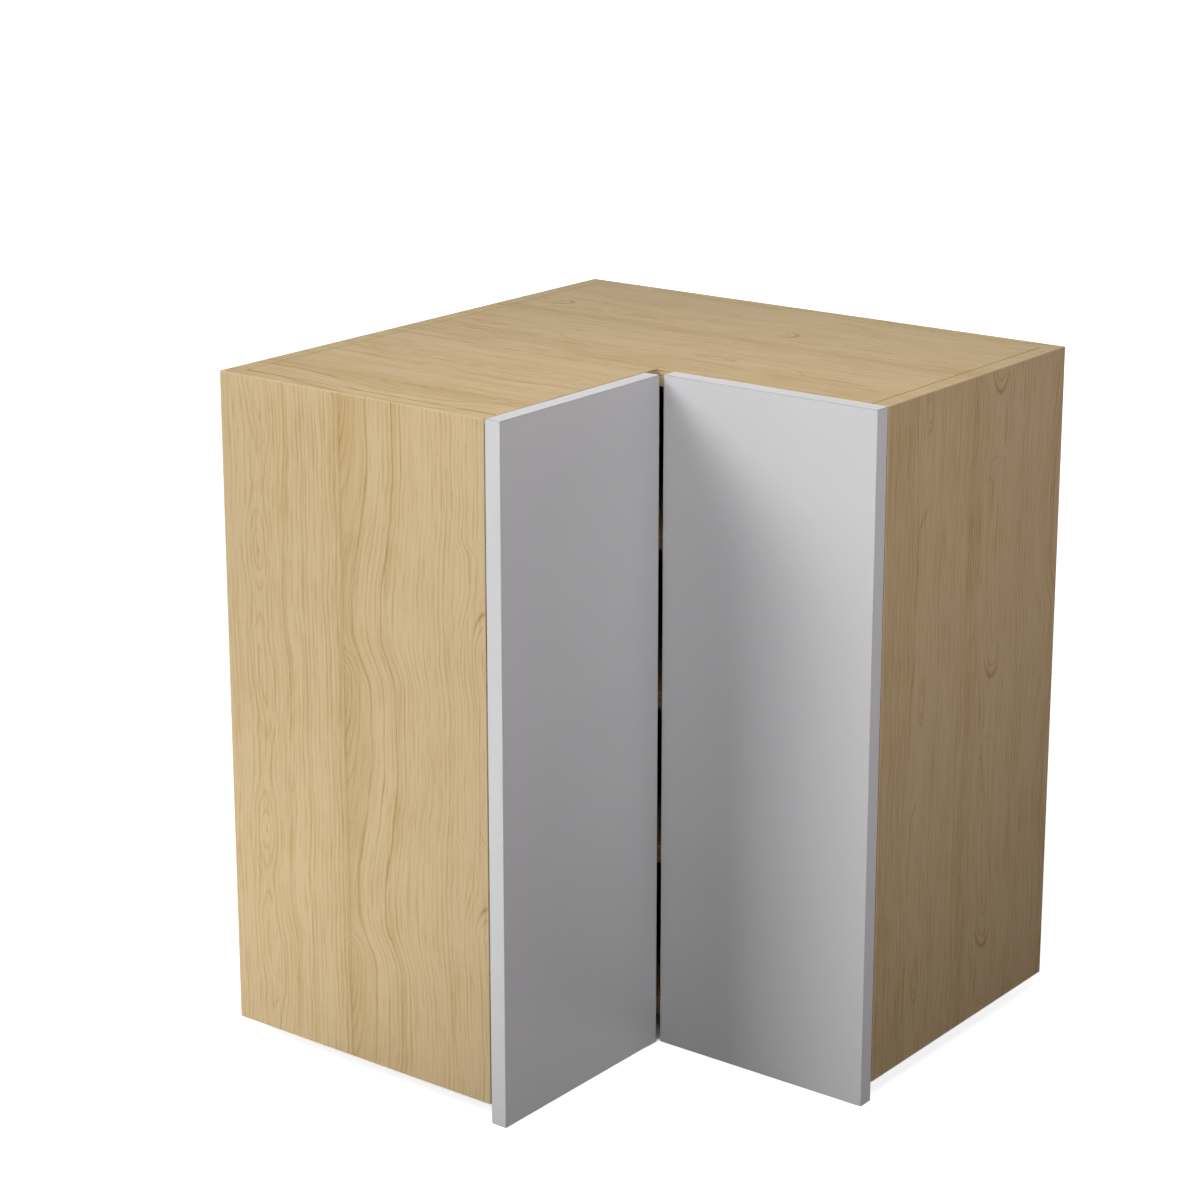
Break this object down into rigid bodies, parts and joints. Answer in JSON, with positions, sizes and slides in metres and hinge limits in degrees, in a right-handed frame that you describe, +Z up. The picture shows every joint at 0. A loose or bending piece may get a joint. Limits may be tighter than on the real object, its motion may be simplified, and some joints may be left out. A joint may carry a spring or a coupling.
{
  "type": "corner wall cabinet",
  "caption": "L-shaped corner wall cabinet with two slab doors that meet at the inner corner, wood-look carcass, loose shelves and concealed cup hinges.",
  "frame": {"origin": "the corner of the room, where both back faces meet, at the height of the carcass's underside", "axes": "+X along the right-hand wall, -Y along the left-hand wall, +Z up"},
  "size_m": [0.615, 0.615, 0.72],
  "materials": {
    "wood_board": "matt light oak board",
    "door_lacquer": "satin pale grey-white slab front",
    "hinge_nickel": "nickel-plated pressed steel",
    "fastener_steel": "bright zinc",
    "support_steel": "nickel-plated steel",
    "cam_zinc": "die-cast zinc",
    "dowel_beech": "plain beech",
    "bumper_rubber": "soft translucent pad"
  },
  "bodies": {
    "carcass": {"right_end_panel": "wood_board", "left_end_panel": "wood_board", "right_back_panel": "wood_board", "left_back_panel": "wood_board", "bottom_panel": "wood_board", "top_panel": "wood_board", "lower_shelf": "wood_board", "middle_shelf": "wood_board", "upper_shelf": "wood_board", "lower_shelf_supports": "support_steel", "middle_shelf_supports": "support_steel", "upper_shelf_supports": "support_steel", "cam_discs": "cam_zinc", "cam_bolts": "fastener_steel", "wood_dowels": "dowel_beech", "right_arm_pins": "fastener_steel", "right_arm_screws": "fastener_steel", "right_plate_screws": "fastener_steel", "right_upper_hinge_arm": "hinge_nickel", "right_upper_mounting_plate": "hinge_nickel", "right_lower_hinge_arm": "hinge_nickel", "right_lower_mounting_plate": "hinge_nickel", "left_arm_pins": "fastener_steel", "left_arm_screws": "fastener_steel", "left_plate_screws": "fastener_steel", "left_upper_hinge_arm": "hinge_nickel", "left_upper_mounting_plate": "hinge_nickel", "left_lower_hinge_arm": "hinge_nickel", "left_lower_mounting_plate": "hinge_nickel"},
    "right_door": {"right_door": "door_lacquer", "right_door_bumpers": "bumper_rubber", "right_cup_pins": "fastener_steel", "right_cup_screws": "fastener_steel", "right_upper_hinge_cup": "hinge_nickel", "right_lower_hinge_cup": "hinge_nickel"},
    "right_long_links": {"right_upper_long_link": "hinge_nickel", "right_lower_long_link": "hinge_nickel"},
    "right_short_links": {"right_upper_short_links": "hinge_nickel", "right_lower_short_links": "hinge_nickel"},
    "left_door": {"left_door": "door_lacquer", "left_door_bumpers": "bumper_rubber", "left_cup_pins": "fastener_steel", "left_cup_screws": "fastener_steel", "left_upper_hinge_cup": "hinge_nickel", "left_lower_hinge_cup": "hinge_nickel"},
    "left_long_links": {"left_upper_long_link": "hinge_nickel", "left_lower_long_link": "hinge_nickel"},
    "left_short_links": {"left_upper_short_links": "hinge_nickel", "left_lower_short_links": "hinge_nickel"}
  },
  "joints": [
    {"name": "right_long_link_swing", "type": "hinge", "parent": "carcass", "child": "right_long_links", "pos_m": [0.5895, -0.32815, 0.35], "axis": [0, 0, -1], "range_deg": [0, 35]},
    {"name": "right_door_swing", "type": "hinge", "parent": "right_long_links", "child": "right_door", "pos_m": [0.6062, -0.3488, 0.35], "axis": [0, 0, 1], "range_deg": [0, 135]},
    {"name": "right_short_link_swing", "type": "hinge", "parent": "right_door", "child": "right_short_links", "pos_m": [0.6027, -0.3499, 0.35], "axis": [0, 0, -1], "range_deg": [0, 138]},
    {"name": "left_long_link_swing", "type": "hinge", "parent": "carcass", "child": "left_long_links", "pos_m": [0.32815, -0.5895, 0.35], "axis": [0, 0, 1], "range_deg": [0, 35]},
    {"name": "left_door_swing", "type": "hinge", "parent": "left_long_links", "child": "left_door", "pos_m": [0.3488, -0.6062, 0.35], "axis": [0, 0, -1], "range_deg": [0, 135]},
    {"name": "left_short_link_swing", "type": "hinge", "parent": "left_door", "child": "left_short_links", "pos_m": [0.3499, -0.6027, 0.35], "axis": [0, 0, 1], "range_deg": [0, 138]}
  ],
  "couplings": [
    {"joint": "right_long_link_swing", "follows": "right_door_swing", "ratio": 0.25925},
    {"joint": "right_short_link_swing", "follows": "right_door_swing", "ratio": 1.0222},
    {"joint": "left_long_link_swing", "follows": "left_door_swing", "ratio": 0.25925},
    {"joint": "left_short_link_swing", "follows": "left_door_swing", "ratio": 1.0222}
  ]
}
